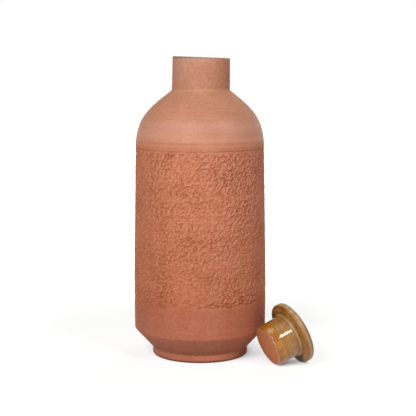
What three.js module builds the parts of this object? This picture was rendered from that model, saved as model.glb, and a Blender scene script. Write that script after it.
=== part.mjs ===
// A clay water bottle of about one litre: a thrown and turned earthenware body with a straight neck, and
// the glazed stopper that closes it. The stopper has been taken out and lies on the table in front of the
// foot, on the edge of its plug and the rim of its flange.
// Millimetres, +Z up. The origin is the centre of the foot, on the table.

import * as THREE from "three";

// Outside of the bottle, from the table up
const footRadius = 37.1;
const footHeight = 5.6;
const footDraw = 0.3; // the foot is this much narrower at its top
const footEdgeRound = 1.4;
const coveRound = 2;
const slopeHeight = 15.4; // turned slope between the foot and the arris
const arrisDraw = 0.2; // the arris stands this far inside the belly
const arrisRound = 2.2;
const bellyRadius = 51.1;
const bellyRise = 41; // from the arris to the widest place
const wallHeight = 143; // from the arris to the shoulder
const wallDraw = 1.8; // the wall draws in by this much from the belly to the shoulder
const scoreDrop = 2.4; // scored line, below the start of the shoulder
const scoreWidth = 1;
const scoreDepth = 0.45;
const bandRise = 25; // from the arris to the lower edge of the tooled band, which ends at the scored line
const rollerTurn = 13.5; // length of wall that one turn of the textured roller marks
const dentHeight = 11;
const dentDepth = 0.8;
const shoulderRise = 40.8;
const neckLength = 25;
const neckRadius = 21.9;
const neckFlare = 0.3; // the neck is this much wider at its root
const rimRound = 0.9;

// Inside of the bottle
const floorThickness = 7;
const wallThickness = 6;
const neckWall = 4;
const cavityRound = 6;
const mouthRound = 0.7;

// Stopper
const plugLength = 20.3; // from the plug's end to the underside of the flange
const plugEndClearance = 1.75; // each clearance is to the bore, on the radius
const plugRootClearance = 1.45;
const collarClearance = 0.4;
const collarLength = 1.6; // raised collar under the flange
const collarFlare = 1.7; // the plug swells into the collar over this length
const collarRound = 0.5;
const rootFillet = 0.8;
const flangeOverhang = 2.2; // past the outside of the neck
const flangeThickness = 5.7;
const plugEdgeRound = 1.5;
const flangeUnderRound = 0.9;
const flangeTopRound = 2;

// How the stopper lies
const stopperGap = 0.7; // in plan, between the belly and the plug's end
const plugEndBearing = THREE.MathUtils.degToRad(-40.6); // round the bottle, from +X
const stopperHeading = THREE.MathUtils.degToRad(25.2); // of its axis in plan, from plug to flange

// Outlines as shares: the part of the wall's draw that is a straight taper, the rest being a parabola, and
// the shoulder's curve along its inset and its rise
const straightDrawShare = 0.8;
const shoulderShares = [
  { inset: 0.022, rise: 0.534 },
  { inset: 0.518, rise: 0.739 },
];
const cornerReachShare = 0.45; // the most of its shorter side that a rounded corner takes up

const dentColumns = 2; // columns of the mesh in one turn of the roller
const dentSteps = 4; // steps in which a dent deepens upwards
const stopperSegments = 48;
const roundSteps = 3;
const beltSteps = 2;
const shoulderSteps = 12;
const insideSteps = 7;

const rollerTurns = Math.round((2 * Math.PI * bellyRadius) / rollerTurn);
const bottleSegments = dentColumns * rollerTurns;
const arrisHeight = footHeight + slopeHeight;
const bellyHeight = arrisHeight + bellyRise;
const shoulderHeight = arrisHeight + wallHeight;
const scoreHeight = shoulderHeight - scoreDrop;
const bandBottom = arrisHeight + bandRise;
const bandTop = scoreHeight - scoreWidth / 2;
const bandSteps = Math.round((dentSteps * (bandTop - bandBottom)) / dentHeight);
const neckRootHeight = shoulderHeight + shoulderRise;
const bottleHeight = neckRootHeight + neckLength;
const boreRadius = neckRadius - neckWall;
const flangeRadius = neckRadius + flangeOverhang;

const terracotta = new THREE.MeshStandardMaterial({ color: 0xc9785c, roughness: 0.9, metalness: 0 });
const amberGlaze = new THREE.MeshStandardMaterial({ color: 0xa9763a, roughness: 0.25, metalness: 0 });

const point = (radius, height) => new THREE.Vector2(radius, height);

// Radius of the outer wall at a height between the arris and the shoulder.
function wallRadius(height) {
  if (height < bellyHeight) {
    const below = (bellyHeight - height) / bellyRise;
    return bellyRadius - arrisDraw * below * below;
  }
  const above = (height - bellyHeight) / (shoulderHeight - bellyHeight);
  return bellyRadius - wallDraw * THREE.MathUtils.lerp(above * above, above, straightDrawShare);
}

// A corner rounded by an arc that touches both of its sides.
function rounded(before, corner, after, radius) {
  const back = before.clone().sub(corner);
  const ahead = after.clone().sub(corner);
  const most = cornerReachShare * Math.min(back.length(), ahead.length());
  const halfAngle = back.angleTo(ahead) / 2;
  const reach = Math.min(radius / Math.tan(halfAngle), most);
  const bisector = back.clone().normalize().add(ahead.clone().normalize()).normalize();
  const centre = corner.clone().addScaledVector(bisector, reach / Math.cos(halfAngle));
  const start = corner.clone().addScaledVector(back.normalize(), reach);
  const turn = Math.sign(ahead.cross(back)) * (Math.PI - 2 * halfAngle);
  const arc = [];
  for (let step = 0; step <= roundSteps; step++) {
    arc.push(start.clone().rotateAround(centre, (turn * step) / roundSteps));
  }
  return arc;
}

// The points of an outline, with each corner that has a rounding turned into its arc.
function outline(corners) {
  return corners.flatMap(({ at, round = 0 }, index) =>
    round > 0 ? rounded(corners[index - 1].at, at, corners[index + 1].at, round) : [at],
  );
}

// Corners with no rounding at evenly spaced places between two values, both included.
function spaced(from, to, steps, place) {
  return Array.from({ length: steps + 1 }, (_, step) => ({ at: place(from + ((to - from) * step) / steps) }));
}

// A body of revolution about its own +Z, from a profile of radius and height that starts and ends on the axis.
function turned(name, profile, segments, material) {
  const geometry = new THREE.LatheGeometry(profile, segments);
  geometry.rotateX(Math.PI / 2);
  const mesh = new THREE.Mesh(geometry, material);
  mesh.name = name;
  return mesh;
}

// The main dents of the tooled band, one in each turn of the roller. A dent deepens upwards and ends in a sharp
// edge, and each column of the mesh is staggered by half a dent. A turned mesh holds its vertices column by
// column, each in the order of the profile.
function pressDents(mesh, profile, rows) {
  const places = mesh.geometry.getAttribute("position");
  const stagger = dentSteps / dentColumns;
  rows.forEach(({ at }, row) => {
    for (let column = 0; column <= bottleSegments; column++) {
      const deepShare = ((row + stagger * column) % dentSteps) / (dentSteps - 1);
      const keptShare = 1 - (dentDepth * deepShare) / at.x;
      const vertex = column * profile.length + profile.indexOf(at);
      places.setXY(vertex, places.getX(vertex) * keptShare, places.getY(vertex) * keptShare);
    }
  });
}

function shoulderCurve() {
  const start = point(wallRadius(shoulderHeight), shoulderHeight);
  const end = point(neckRadius + neckFlare, neckRootHeight);
  const inset = start.x - end.x;
  const controls = shoulderShares.map((share) =>
    point(start.x - inset * share.inset, start.y + shoulderRise * share.rise),
  );
  return new THREE.CubicBezierCurve(start, ...controls, end);
}

function bottle() {
  const foot = point(footRadius, 0);
  const cove = point(footRadius - footDraw, footHeight);
  const arris = point(wallRadius(arrisHeight), arrisHeight);
  const shoulder = shoulderCurve();
  const shoulderPoint = (share) => shoulder.getPoint(share);
  const shoulderInside = (share) => {
    const along = shoulder.getTangent(share);
    return shoulder.getPoint(share).addScaledVector(point(-along.y, along.x), wallThickness);
  };
  const wallPoint = (height) => point(wallRadius(height), height);
  const wallInside = (height) => point(wallRadius(height) - wallThickness, height);
  const [, ...belt] = spaced(arrisHeight, bandBottom, beltSteps, wallPoint);
  const [, ...band] = spaced(bandBottom, bandTop, bandSteps, wallPoint);

  // The slope inside runs parallel to the slope outside, from the floor to the inner wall.
  const slope = arris.clone().sub(cove).normalize();
  const slopeInside = cove.clone().addScaledVector(point(-slope.y, slope.x), wallThickness);
  const onSlopeInside = (rise) => slopeInside.clone().addScaledVector(slope, rise / slope.y);
  const floorCorner = onSlopeInside(floorThickness - slopeInside.y);
  const innerWallRadius = arris.x - wallThickness;
  const innerArris = onSlopeInside(((innerWallRadius - slopeInside.x) * slope.y) / slope.x);
  const underNeck = shoulderInside(1);

  const corners = [
    { at: point(0, 0) },
    { at: foot, round: footEdgeRound },
    { at: cove, round: coveRound },
    { at: arris, round: arrisRound },
    ...belt,
    ...band,
    { at: point(wallRadius(scoreHeight) - scoreDepth, scoreHeight) },
    { at: wallPoint(scoreHeight + scoreWidth / 2) },
    ...spaced(0, 1, shoulderSteps, shoulderPoint),
    { at: point(neckRadius, bottleHeight), round: rimRound },
    { at: point(boreRadius, bottleHeight), round: mouthRound },
    { at: point(boreRadius, underNeck.y + Math.abs(underNeck.x - boreRadius)) },
    ...spaced(1, 0, insideSteps, shoulderInside),
    { at: wallInside(bellyHeight) },
    { at: innerArris, round: cavityRound },
    { at: floorCorner, round: cavityRound },
    { at: point(0, floorThickness) },
  ];
  const profile = outline(corners);
  const mesh = turned("bottle", profile, bottleSegments, terracotta);
  pressDents(mesh, profile, band.slice(0, -1));
  return mesh;
}

// Sizes of the stopper that its outline and its place on the table both use.
const plugEndRadius = boreRadius - plugEndClearance;
const plugRootRadius = boreRadius - plugRootClearance;
const collarRadius = boreRadius - collarClearance;
const collarHeight = plugLength - collarLength;

function stopper() {
  const top = plugLength + flangeThickness;
  const corners = [
    { at: point(0, 0) },
    { at: point(plugEndRadius, 0), round: plugEdgeRound },
    { at: point(plugRootRadius, collarHeight - collarFlare), round: rootFillet },
    { at: point(collarRadius, collarHeight), round: collarRound },
    { at: point(collarRadius, plugLength), round: rootFillet },
    { at: point(flangeRadius, plugLength), round: flangeUnderRound },
    { at: point(flangeRadius, top), round: flangeTopRound },
    { at: point(0, top) },
  ];
  return turned("stopper", outline(corners), stopperSegments, amberGlaze);
}

// The stopper touches the table with the round of its plug's edge and the round of its flange, so it tilts
// until both rounds touch one line.
function stopperTilt() {
  const run = plugLength + flangeUnderRound - plugEdgeRound;
  const rise = flangeRadius - flangeUnderRound - (plugEndRadius - plugEdgeRound);
  return Math.atan2(rise, run) + Math.asin((flangeUnderRound - plugEdgeRound) / Math.hypot(run, rise));
}

// A turned piece laid with its axis level along +Y and raised by the tilt, its lowest edge on the table.
function laidStopper() {
  const tilt = stopperTilt();
  const piece = stopper();
  piece.rotation.x = tilt - Math.PI / 2;
  const edgeCentre = plugEndRadius - plugEdgeRound;
  piece.position.z = plugEdgeRound - plugEdgeRound * Math.sin(tilt) + edgeCentre * Math.cos(tilt);

  // How far the round end of the tilted plug reaches towards the bottle in plan.
  const across = stopperHeading - plugEndBearing;
  const reach = plugEndRadius * Math.hypot(Math.sin(across), Math.cos(across) * Math.sin(tilt));
  const distance = bellyRadius + stopperGap + reach;
  const place = new THREE.Group();
  place.position.set(distance * Math.cos(plugEndBearing), distance * Math.sin(plugEndBearing), 0);
  place.rotation.z = stopperHeading - Math.PI / 2;
  place.add(piece);
  return place;
}

const waterBottle = new THREE.Group();
waterBottle.add(bottle(), laidStopper());

export default waterBottle;
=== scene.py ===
import math

import bmesh
import bpy
import numpy as np
from mathutils import Euler, Matrix, Vector, noise

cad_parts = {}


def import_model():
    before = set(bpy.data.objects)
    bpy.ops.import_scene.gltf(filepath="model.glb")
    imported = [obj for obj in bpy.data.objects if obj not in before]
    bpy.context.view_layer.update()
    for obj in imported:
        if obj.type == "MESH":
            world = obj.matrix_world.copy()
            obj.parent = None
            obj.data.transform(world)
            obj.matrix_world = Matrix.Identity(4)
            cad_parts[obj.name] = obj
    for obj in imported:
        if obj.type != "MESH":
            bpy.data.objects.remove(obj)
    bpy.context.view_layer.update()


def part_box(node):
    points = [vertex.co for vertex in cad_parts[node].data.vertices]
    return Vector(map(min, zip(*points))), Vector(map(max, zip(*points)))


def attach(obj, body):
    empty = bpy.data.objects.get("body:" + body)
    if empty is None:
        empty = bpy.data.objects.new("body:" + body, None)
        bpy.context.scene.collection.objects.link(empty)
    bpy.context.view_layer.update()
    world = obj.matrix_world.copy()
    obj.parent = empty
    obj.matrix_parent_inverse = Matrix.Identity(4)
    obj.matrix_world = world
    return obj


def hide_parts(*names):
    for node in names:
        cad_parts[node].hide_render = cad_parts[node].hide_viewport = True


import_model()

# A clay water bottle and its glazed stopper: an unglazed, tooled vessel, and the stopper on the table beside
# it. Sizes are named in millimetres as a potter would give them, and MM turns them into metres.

MM = 0.001
_, bottle_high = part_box("bottle")

# Outside of the bottle, from the table up
FOOT_RADIUS = 37.1
FOOT_HEIGHT = 5.6
FOOT_DRAW = 0.3
FOOT_EDGE_ROUND = 1.4
COVE_ROUND = 2.0
SLOPE_HEIGHT = 15.4
ARRIS_DRAW = 0.2
ARRIS_ROUND = 2.2
BELLY_RADIUS = bottle_high.x / MM
BELLY_RISE = 41.0
WALL_HEIGHT = 143.0
WALL_DRAW = 1.8
SCORE_DROP = 2.9
SCORE_WIDTH = 0.75
SCORE_DEPTH = 0.55
UPPER_SCORE_RISE = 1.3  # a second, fainter line over the first
UPPER_SCORE_WIDTH = 0.5
UPPER_SCORE_DEPTH = 0.28
SCORE_EDGE = 0.12       # how sharply a scored line is cut into the wall
SHOULDER_RISE = 40.8
NECK_RADIUS = 21.9
NECK_FLARE = 0.3
RIM_ROUND = 0.9
BOTTLE_HEIGHT = bottle_high.z / MM

# Inside of the bottle
FLOOR_THICKNESS = 7.0
WALL_THICKNESS = 6.0
NECK_WALL = 4.0
CAVITY_ROUND = 6.0
MOUTH_ROUND = 0.7

# Stopper, measured along its own axis from the plug's end
PLUG_LENGTH = 20.3
PLUG_END_RADIUS = 16.15
PLUG_ROOT_RADIUS = 16.45
COLLAR_RADIUS = 17.5
COLLAR_LENGTH = 1.6
COLLAR_FLARE = 1.7
COLLAR_ROUND = 0.5
ROOT_FILLET = 0.8
FLANGE_RADIUS = 24.1
FLANGE_THICKNESS = 5.7
PLUG_EDGE_ROUND = 1.5
GLAZE_EDGE = 15.6      # the glaze starts this far from the middle of the plug's end, along the surface
GLAZE_ROLL = 0.35      # half the width over which its edge rounds down to the bare clay
GLAZE_THICKNESS = 0.3
END_DRAW = 0.35        # the plug draws in by this much over its last stretch
END_DRAW_LENGTH = 8.0
FLANGE_UNDER_ROUND = 0.9
FLANGE_TOP_ROUND = 2.0
STOPPER_LENGTH = PLUG_LENGTH + FLANGE_THICKNESS

# How the stopper lies
STOPPER_GAP = 0.7
PLUG_END_BEARING = math.radians(-40.6)
STOPPER_HEADING = math.radians(25.2)

# Outlines as shares, as in the solid model
STRAIGHT_DRAW_SHARE = 0.8
SHOULDER_SHARES = ((0.022, 0.534), (0.518, 0.739))
CORNER_REACH_SHARE = 0.45

ARRIS_HEIGHT = FOOT_HEIGHT + SLOPE_HEIGHT
BELLY_HEIGHT = ARRIS_HEIGHT + BELLY_RISE
SHOULDER_HEIGHT = ARRIS_HEIGHT + WALL_HEIGHT
SCORE_HEIGHT = SHOULDER_HEIGHT - SCORE_DROP
NECK_ROOT_HEIGHT = SHOULDER_HEIGHT + SHOULDER_RISE
BORE_RADIUS = NECK_RADIUS - NECK_WALL

# What the hand leaves on the bottle
NECK_LEAN = 1.1        # the neck stands this far to the right of the body's axis
RIM_SLOPE = 0.036      # the rim drops this much for each millimetre to the right
THROW_DEPTH = 0.045    # rings left by the throwing fingers, on the shoulder and the neck
THROW_PITCH = 8.0
THROW_DRIFT = 2.7       # their spacing drifts to and fro over this many of them
TOOLED_BOTTOM = 41.4   # lower edge of the tooled band
BAND_MARGIN = 2.5      # the fine mesh starts this far below the band
ROLLER_TURNS = 24      # turns of the textured roller round the wall, each with the same pattern
PASS_HEIGHTS = (81.5, 142.0)    # where one pass of the roller ends over the next
PASS_STEP = 0.22        # how far the wall stands proud just over such an end, and how soon that fades
PASS_FADE = 4.0

# Mesh fineness
COARSE_COLUMNS = 153
FINE_COLUMNS = 3 * COARSE_COLUMNS
INSIDE_COLUMNS = COARSE_COLUMNS // 3
ROUND_STEPS = 5
FINE_SPACING = 0.7
WALL_SPACING = 2.2
FLAT_SPACING = 9.0
INSIDE_SPACING = 9.0
SHOULDER_STEPS = 26
INSIDE_SHOULDER_STEPS = 12
STOPPER_COLUMNS = 216
STOPPER_SPACING = 0.5


def smoothstep(low, high, value):
    share = np.clip((value - low) / (high - low), 0.0, 1.0)
    return share * share * (3.0 - 2.0 * share)


# Outlines: lists of 2D points, radius and height, in millimetres

def rounded(before, corner, after, radius):
    """The points of an arc that touches both sides of a corner."""
    back = before - corner
    ahead = after - corner
    most = CORNER_REACH_SHARE * min(back.length, ahead.length)
    half_angle = back.angle(ahead) / 2
    reach = min(radius / math.tan(half_angle), most)
    bisector = (back.normalized() + ahead.normalized()).normalized()
    centre = corner + bisector * reach / math.cos(half_angle)
    spoke = corner + back.normalized() * reach - centre
    turn = math.copysign(math.pi - 2 * half_angle, ahead.x * back.y - ahead.y * back.x)
    return [centre + Matrix.Rotation(turn * step / ROUND_STEPS, 2) @ spoke for step in range(ROUND_STEPS + 1)]


def outline(corners):
    """Corners are (radius, height) or (radius, height, rounding)."""
    at = [Vector(corner[:2]) for corner in corners]
    points = []
    for index, corner in enumerate(corners):
        if len(corner) > 2:
            points += rounded(at[index - 1], at[index], at[index + 1], corner[2])
        else:
            points.append(at[index])
    return points


def refined(points, spacing):
    """The same outline with its long stretches divided, so that no step is longer than spacing."""
    finer = [points[0]]
    for start, end in zip(points, points[1:]):
        steps = max(1, math.ceil((end - start).length / spacing))
        finer += [start.lerp(end, step / steps) for step in range(1, steps + 1)]
    return finer


def wall_radius(height):
    if height < BELLY_HEIGHT:
        return BELLY_RADIUS - ARRIS_DRAW * ((BELLY_HEIGHT - height) / BELLY_RISE) ** 2
    above = (height - BELLY_HEIGHT) / (SHOULDER_HEIGHT - BELLY_HEIGHT)
    return BELLY_RADIUS - WALL_DRAW * (above * above + STRAIGHT_DRAW_SHARE * (above - above * above))


def shoulder_curve(steps, inside=0.0):
    """Points of the shoulder from the wall to the neck, moved inwards by a wall's thickness."""
    start = Vector((wall_radius(SHOULDER_HEIGHT), SHOULDER_HEIGHT))
    end = Vector((NECK_RADIUS + NECK_FLARE, NECK_ROOT_HEIGHT))
    inset = start.x - end.x
    low, high = [Vector((start.x - inset * i, start.y + SHOULDER_RISE * r)) for i, r in SHOULDER_SHARES]
    points = []
    for step in range(steps + 1):
        share = step / steps
        rest = 1 - share
        place = start * rest ** 3 + low * 3 * rest * rest * share
        place = place + high * 3 * rest * share * share + end * share ** 3
        along = (low - start) * rest * rest + (high - low) * 2 * rest * share + (end - high) * share * share
        along.normalize()
        points.append(place + Vector((-along.y, along.x)) * inside)
    return points


def underside():
    return [Vector((0, 0)), Vector((FOOT_RADIUS - FOOT_EDGE_ROUND, 0))]


def outside_below_band():
    foot_top = (FOOT_RADIUS - FOOT_DRAW, FOOT_HEIGHT, COVE_ROUND)
    arris = (wall_radius(ARRIS_HEIGHT), ARRIS_HEIGHT, ARRIS_ROUND)
    band_foot = TOOLED_BOTTOM - BAND_MARGIN
    return outline([
        (0, 0),
        (FOOT_RADIUS, 0, FOOT_EDGE_ROUND),
        foot_top,
        arris,
        (wall_radius(band_foot), band_foot),
    ])[1:]


def outside_band():
    """The tooled wall, from under its lower edge to just over the scored line, finely stepped."""
    low = TOOLED_BOTTOM - BAND_MARGIN
    score_foot = SCORE_HEIGHT - SCORE_WIDTH / 2
    steps = round((score_foot - low) / FINE_SPACING)
    heights = [low + (score_foot - low) * step / steps for step in range(1, steps + 1)]
    wall = []
    for height in heights:
        proud = sum(PASS_STEP * math.exp((end - height) / PASS_FADE) for end in PASS_HEIGHTS if height > end)
        wall.append(Vector((wall_radius(height) + proud, height)))
    groove_shares = (0.25, 0.5, 0.75, 1.0)
    groove = []
    for share in groove_shares:
        height = score_foot + SCORE_WIDTH * share
        depth = SCORE_DEPTH * math.sin(math.pi * share)
        groove.append(Vector((wall_radius(height) - depth, height)))
    return wall + groove


def outside_above_band():
    neck_top = (NECK_RADIUS, BOTTLE_HEIGHT, RIM_ROUND)
    mouth = (BORE_RADIUS, BOTTLE_HEIGHT, MOUTH_ROUND)
    line = SCORE_HEIGHT + UPPER_SCORE_RISE
    half = UPPER_SCORE_WIDTH / 2
    between = []
    for height, depth in (
        (SCORE_HEIGHT + SCORE_WIDTH / 2 + SCORE_EDGE, 0),
        (line - half - SCORE_EDGE, 0),
        (line - half, 0),
        (line, UPPER_SCORE_DEPTH),
        (line + half, 0),
        (line + half + SCORE_EDGE, 0),
    ):
        between.append(Vector((wall_radius(height) - depth, height)))
    shoulder = between + shoulder_curve(SHOULDER_STEPS)
    rim = outline([tuple(shoulder[-1]), neck_top, mouth, (BORE_RADIUS, BOTTLE_HEIGHT - NECK_WALL)])
    return shoulder + rim[1:]


def inside_surface():
    """From the bore down the inside to the middle of the floor."""
    cove = Vector((FOOT_RADIUS - FOOT_DRAW, FOOT_HEIGHT))
    arris = Vector((wall_radius(ARRIS_HEIGHT), ARRIS_HEIGHT))
    slope = (arris - cove).normalized()
    start = cove + Vector((-slope.y, slope.x)) * WALL_THICKNESS
    floor_corner = start + slope * (FLOOR_THICKNESS - start.y) / slope.y
    inner_arris = start + slope * (arris.x - WALL_THICKNESS - start.x) / slope.x
    shoulder = shoulder_curve(INSIDE_SHOULDER_STEPS, WALL_THICKNESS)[::-1]
    bore_foot = shoulder[0].y + abs(shoulder[0].x - BORE_RADIUS)
    return outline([
        (BORE_RADIUS, bore_foot),
        *[tuple(point) for point in shoulder],
        (wall_radius(BELLY_HEIGHT) - WALL_THICKNESS, BELLY_HEIGHT),
        (inner_arris.x, inner_arris.y, CAVITY_ROUND),
        (floor_corner.x, floor_corner.y, CAVITY_ROUND),
        (0, FLOOR_THICKNESS),
    ])


# Meshes

def ring_faces(first, first_count, second, second_count):
    """Faces between two rings of vertices, which hold as many, or three times as many, or a single one."""
    if first_count == 1 or second_count == 1:
        pole, ring, count = second, first, first_count
        if first_count == 1:
            pole, ring, count = first, second, second_count
        return [(pole, ring + i, ring + (i + 1) % count) for i in range(count)]
    if first_count == second_count:
        count = first_count
        return [
            (first + i, first + (i + 1) % count, second + (i + 1) % count, second + i) for i in range(count)
        ]
    coarse, fine, count = second, first, second_count
    if first_count < second_count:
        coarse, fine, count = first, second, first_count
    faces = []
    for i in range(count):
        near, far = coarse + i, coarse + (i + 1) % count
        a, b, c, d = (fine + (3 * i + j) % (3 * count) for j in range(4))
        faces += [(near, a, b), (near, b, c, far), (far, c, d)]
    return faces


def turned_mesh(name, rings):
    """A closed body of revolution about Z. Each ring is (radius, height, columns), in millimetres."""
    places = []
    starts = []
    for radius, height, columns in rings:
        starts.append(len(places))
        for column in range(columns):
            angle = 2 * math.pi * column / columns
            places.append((radius * math.cos(angle) * MM, radius * math.sin(angle) * MM, height * MM))
    faces = []
    for index in range(len(rings) - 1):
        faces += ring_faces(starts[index], rings[index][2], starts[index + 1], rings[index + 1][2])
    mesh = bpy.data.meshes.new(name)
    mesh.from_pydata(places, [], faces)
    face_out(mesh)
    return mesh


def face_out(mesh):
    shell = bmesh.new()
    shell.from_mesh(mesh)
    bmesh.ops.recalc_face_normals(shell, faces=shell.faces)
    shell.to_mesh(mesh)
    shell.free()
    mesh.shade_smooth()


def coordinates(mesh):
    flat = np.empty(len(mesh.vertices) * 3)
    mesh.vertices.foreach_get("co", flat)
    return flat.reshape(-1, 3)


def set_coordinates(mesh, places):
    mesh.vertices.foreach_set("co", places.ravel())
    mesh.update()


def point_values(mesh, name, values):
    attribute = mesh.attributes.new(name, "FLOAT", "POINT")
    attribute.data.foreach_set("value", np.asarray(values, np.float32))


def add_object(name, mesh):
    piece = bpy.data.objects.new(name, mesh)
    bpy.context.scene.collection.objects.link(piece)
    return piece


# Node trees

def linear(hex_colour):
    """An sRGB hex value as the linear colour that shaders use."""
    shares = [int(hex_colour[i:i + 2], 16) / 255 for i in (1, 3, 5)]
    return tuple(s / 12.92 if s <= 0.04045 else ((s + 0.055) / 1.055) ** 2.4 for s in shares) + (1.0,)


def add(tree, kind, sockets=None, stops=(), **settings):
    """Adds a node and returns its outputs. sockets are input values, or the outputs that feed them, in order
    or by name or number, and stops are the places and hex colours of a colour ramp."""
    node = tree.nodes.new(kind)
    if isinstance(sockets, tuple):
        sockets = dict(enumerate(sockets))
    for key, value in settings.items():
        setattr(node, key, value)
    for key, value in (sockets or {}).items():
        if isinstance(value, bpy.types.NodeSocket):
            tree.links.new(value, node.inputs[key])
        else:
            node.inputs[key].default_value = value
    for index, (place, colour) in enumerate(stops):
        elements = node.color_ramp.elements
        element = elements[index] if index < len(elements) else elements.new(place)
        element.position = place
        element.color = linear(colour)
    return node.outputs


# Tool marks: a Geometry Nodes tree that rolls the main dents and short curved cuts into the wall

GIRTH = 2 * math.pi * BELLY_RADIUS
MARK_SIZES = {
    "Girth": GIRTH * MM,
    "Roller Turn": GIRTH / ROLLER_TURNS * MM,
    "Main Dent Height": 11.0 * MM,
    "Main Dent Depth": 0.3 * MM,
    "Slip": 3.0 * MM,
    "Slip Length": 35.7 * MM,
    "Spacing": 2.8 * MM,
    "Length": 2.1 * MM,
    "Width": 1.1 * MM,
    "Depth": 0.755 * MM,
    "Crumb Size": 2.2 * MM,
    "Crumb Relief": 0.6 * MM,
    "Bottom": TOOLED_BOTTOM * MM,
    "Top": (SCORE_HEIGHT - SCORE_WIDTH / 2) * MM,
    "Edge Fade": 0.5 * MM,
    "Lower Edge Fade": 2.2 * MM,
    "Edge Wander": 5.0 * MM,
    "Wander Length": 9.09 * MM,
    "Edge Drop": 4.5 * MM,
    "Left Edge Fade": 7.0 * MM,
    "Fold Reach": 14.0 * MM,
    "Swirl Size": 24.0 * MM,
    "Right Press": 0.6,
    "Left Press": 0.85,
    "Low Press": 0.86,
    "High Press": 1.12,
    "Patch Size": 22.0 * MM,
    "Patch Press": 0.25,
}
# Layers of cuts, the roller's and then the hand's: the length round the wall after which each comes back, and
# its seed
MARK_LAYERS = (("Roller Turn", 7), ("Roller Turn", 8), ("Girth", 9), ("Girth", 10))
MARK_NOISES = {
    # size, detail and roughness
    "wander": ("Wander Length", 3.0, 0.5),
    "patch": ("Patch Size", 1.0, 0.5),
    "slip": ("Slip Length", 1.0, 0.5),
    "swirl": ("Swirl Size", 1.0, 0.5),
    "crumb": ("Crumb Size", 2.0, 0.6),
}
BROAD = (0.3, 0.7)      # what noise mostly runs between, in broad patches and in fine grain
FINE = (0.35, 0.65)
MARK_CROWDING = 4.0     # more cuts are tried than fit, so that they lie as close as their spacing lets them
MARK_SMALLEST = 0.55
MARK_LARGEST = 1.2
MARK_SIZE_SEED = 50     # added to a layer's seed for the sizes of its cuts
MARK_LEAN = -0.87       # radians: most cuts run from lower left to upper right
MARK_SWING = 3.4        # how far that lie swings from patch to patch, and from cut to cut
MARK_JITTER = 0.75
MARK_BEND = 0.5         # how much a cut curves along its length
MARK_END_SHARE = 0.1    # it is at full depth within this share of its length, squared
MARK_STEEP_SHARE = 0.35     # its steep side is this wide, as a share of its gentle one
MARK_LIP_SHARE = 0.16   # its lip stands this high, as a share of its depth
CRUMB_LEVEL = 0.6       # noise above this stands proud as torn clay, and below it is sunk
SIDE_SHARE = 0.55       # the roller pressed less hard from this far out to the sides
FOLD_SHARE = 1.9        # the cuts are this much larger at the lower edge, and lie more level there
MAIN_EDGE_SHARE = 0.8   # a main dent deepens over this share of its height, and then ends


def scattered_cuts(tree, sizes, swirl, turn, seed):
    """A layer's cuts as points on a flat strip one turn wide, which keep how each lies and its size."""
    strip = add(tree, "GeometryNodeMeshGrid", {
        "Size X": turn, "Size Y": sizes["Top"], "Vertices X": 2, "Vertices Y": 2,
    })["Mesh"]
    strip_size = add(tree, "ShaderNodeCombineXYZ", (turn, sizes["Top"]))[0]
    middle = add(tree, "ShaderNodeVectorMath", {0: strip_size, "Scale": 0.5}, operation="SCALE")[0]
    strip = add(tree, "GeometryNodeTransform", {"Geometry": strip, "Translation": middle})[0]
    density = add(tree, "ShaderNodeMath", (sizes["Spacing"], -2.0), operation="POWER")[0]
    dense = add(tree, "ShaderNodeMath", (density, MARK_CROWDING), operation="MULTIPLY")[0]
    marks = add(tree, "GeometryNodeDistributePointsOnFaces", {
        "Mesh": strip, "Distance Min": sizes["Spacing"], "Density Max": dense, "Seed": seed,
    }, distribute_method="POISSON")["Points"]
    jitter = add(tree, "FunctionNodeRandomValue", {2: -MARK_JITTER, 3: MARK_JITTER, "Seed": seed})[1]
    swung = add(tree, "ShaderNodeMath", (swirl, MARK_SWING, jitter), operation="MULTIPLY_ADD")[0]
    free_lie = add(tree, "ShaderNodeMath", (swung, MARK_LEAN - MARK_SWING / 2), operation="ADD")[0]
    position = add(tree, "GeometryNodeInputPosition")[0]
    mark_height = add(tree, "ShaderNodeSeparateXYZ", (position,))[1]
    fold_top = add(tree, "ShaderNodeMath", (sizes["Bottom"], sizes["Fold Reach"]), operation="ADD")[0]
    fold = add(tree, "ShaderNodeMapRange", {
        "Value": mark_height, "From Min": sizes["Bottom"], "From Max": fold_top,
        "To Min": FOLD_SHARE, "To Max": 1.0,
    })[0]
    random_size = add(tree, "FunctionNodeRandomValue", {
        2: MARK_SMALLEST, 3: MARK_LARGEST, "Seed": seed + MARK_SIZE_SEED,
    })[1]
    size = add(tree, "ShaderNodeMath", (random_size, fold), operation="MULTIPLY")[0]
    lies = add(tree, "ShaderNodeMath", (free_lie, fold), operation="DIVIDE")[0]
    lie_and_size = add(tree, "ShaderNodeCombineXYZ", (lies, size))[0]
    marks = add(tree, "GeometryNodeStoreNamedAttribute", {
        "Geometry": marks, "Name": "lie_and_size", "Value": lie_and_size,
    }, data_type="FLOAT_VECTOR", domain="POINT")[0]

    # The same strip again on both sides, so that a cut may reach over the strip's ends
    copies = add(tree, "GeometryNodeDuplicateElements", {"Geometry": marks, "Amount": 3}, domain="POINT")
    copy = add(tree, "ShaderNodeMath", (copies["Duplicate Index"], 1.0), operation="SUBTRACT")[0]
    shift = add(tree, "ShaderNodeMath", (copy, turn), operation="MULTIPLY")[0]
    return add(tree, "GeometryNodeSetPosition", {
        "Geometry": copies[0], "Offset": add(tree, "ShaderNodeCombineXYZ", (shift,))[0],
    })[0]


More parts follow.
